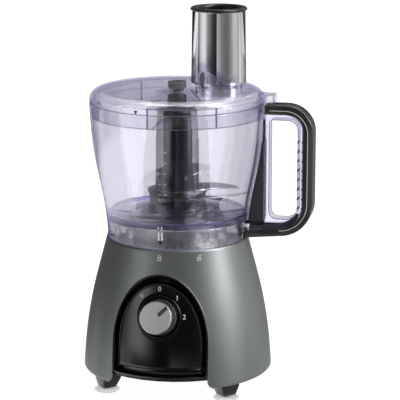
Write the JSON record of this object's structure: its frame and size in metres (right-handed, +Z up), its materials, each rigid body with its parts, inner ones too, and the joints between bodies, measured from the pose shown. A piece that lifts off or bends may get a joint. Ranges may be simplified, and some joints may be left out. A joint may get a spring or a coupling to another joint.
{
  "type": "food processor",
  "caption": "Compact food processor: bell-shaped motor base, clear bowl with a loop handle, blade tool on a stem, clear lid with feed tube and pusher.",
  "frame": {"origin": "middle of the whole machine's footprint on the table, with the spindle's axis 24.35 mm towards -X", "axes": "+Z up along the spindle; -Y is the front, with the dial; +X is the side with the bowl's handle"},
  "size_m": [0.244, 0.2077, 0.395],
  "materials": {
    "charcoal_plastic": "satin, fine grain",
    "gloss_black": "polished",
    "black_plastic": "semi-gloss",
    "clear_plastic": "clear moulded plastic, polished",
    "grey_plastic": "satin",
    "frame_plastic": "plain",
    "dial_silver": "silver paint, satin",
    "blade_steel": "ground",
    "machine_steel": "machined",
    "chrome_steel": "polished",
    "copper_winding": "varnished copper",
    "black_rubber": "matt",
    "pale_rubber": "translucent, smooth"
  },
  "bodies": {
    "base": {"base_shell": "charcoal_plastic", "front_moulding": "gloss_black", "base_plate": "black_plastic", "foot_front_left": "black_plastic", "foot_front_right": "black_plastic", "foot_rear_left": "black_plastic", "foot_rear_right": "black_plastic", "suction_cup_front_left": "pale_rubber", "suction_cup_front_right": "pale_rubber", "suction_cup_rear_left": "pale_rubber", "suction_cup_rear_right": "pale_rubber", "plate_screw_1": "machine_steel", "plate_screw_2": "machine_steel", "plate_screw_3": "machine_steel", "plate_screw_4": "machine_steel", "frame_screw_1": "machine_steel", "frame_screw_2": "machine_steel", "frame_screw_3": "machine_steel", "frame_screw_4": "machine_steel", "lower_frame": "frame_plastic", "upper_frame": "frame_plastic", "motor_lower_bracket": "machine_steel", "motor_upper_bracket": "machine_steel", "motor_field": "copper_winding", "motor_brush_left": "black_plastic", "motor_brush_right": "black_plastic", "drive_belt": "black_rubber", "lower_bearing": "machine_steel", "upper_bearing": "machine_steel", "turret_seal": "black_rubber", "dial_collar": "gloss_black", "speed_switch": "frame_plastic", "interlock_switch": "frame_plastic", "pin_spring": "machine_steel", "cord_inlet": "black_plastic"},
    "motor": {"motor_rotor": "machine_steel", "motor_fan": "black_plastic", "motor_pulley": "machine_steel"},
    "drive": {"drive_pulley": "frame_plastic", "output_shaft": "machine_steel", "drive_dog": "machine_steel"},
    "dial": {"dial_shaft": "machine_steel", "dial_knob": "dial_silver", "dial_pointer": "black_plastic"},
    "interlock_pin": {"interlock_pin": "black_plastic"},
    "bowl_bush": {"bowl_bush": "black_rubber"},
    "bowl": {"bowl": "clear_plastic", "handle_frame": "clear_plastic", "handle_grip": "black_plastic", "handle_core": "charcoal_plastic"},
    "interlock_rod": {"interlock_rod": "black_plastic"},
    "tool": {"tool_stem": "black_plastic", "blade_hub": "grey_plastic", "blade_upper": "blade_steel", "blade_lower": "blade_steel"},
    "lid_bush": {"lid_bush": "grey_plastic"},
    "lid": {"lid": "clear_plastic"},
    "pusher": {"pusher_sleeve": "chrome_steel", "pusher_cup": "black_plastic"}
  },
  "joints": [
    {"name": "shaft_spin", "type": "hinge", "parent": "base", "child": "drive", "pos_m": [-0.02225, 0, 0.1], "axis": [0, 0, 1], "continuous": true},
    {"name": "motor_spin", "type": "hinge", "parent": "base", "child": "motor", "pos_m": [-0.02225, 0.05, 0.1], "axis": [0, 0, 1], "continuous": true},
    {"name": "dial_turn", "type": "hinge", "parent": "base", "child": "dial", "pos_m": [-0.02225, -0.086, 0.0916], "axis": [0, -0.9744, 0.225], "range_deg": [-45, 90]},
    {"name": "interlock_pin_slide", "type": "slide", "parent": "base", "child": "interlock_pin", "axis": [0, 0, 1], "range_m": [-0.003, 0], "deforming": ["pin_spring"]},
    {"name": "bowl_lift", "type": "slide", "parent": "base", "child": "bowl_bush", "axis": [0, 0, 1], "range_m": [0, 0.09]},
    {"name": "bowl_twist", "type": "hinge", "parent": "bowl_bush", "child": "bowl", "pos_m": [-0.02225, 0, 0.2], "axis": [0, 0, 1], "range_deg": [0, 30]},
    {"name": "interlock_rod_slide", "type": "slide", "parent": "bowl", "child": "interlock_rod", "axis": [0, 0, 1], "range_m": [-0.003, 0], "stiffness_N_per_m": 150, "springref_m": 0.001},
    {"name": "blade_spin", "type": "hinge", "parent": "bowl_bush", "child": "tool", "pos_m": [-0.02225, 0, 0.2], "axis": [0, 0, 1], "continuous": true},
    {"name": "lid_lift", "type": "slide", "parent": "bowl", "child": "lid_bush", "axis": [0, 0, 1], "range_m": [0, 0.06]},
    {"name": "lid_twist", "type": "hinge", "parent": "lid_bush", "child": "lid", "pos_m": [-0.02225, 0, 0.31], "axis": [0, 0, 1], "range_deg": [0, 25]},
    {"name": "pusher_slide", "type": "slide", "parent": "lid", "child": "pusher", "axis": [0, 0, 1], "range_m": [0, 0.08]}
  ],
  "couplings": [
    {"joint": "motor_spin", "follows": "shaft_spin", "ratio": 6},
    {"joint": "blade_spin", "follows": "shaft_spin", "ratio": 1},
    {"joint": "interlock_pin_slide", "follows": "interlock_rod_slide", "ratio": 1}
  ]
}
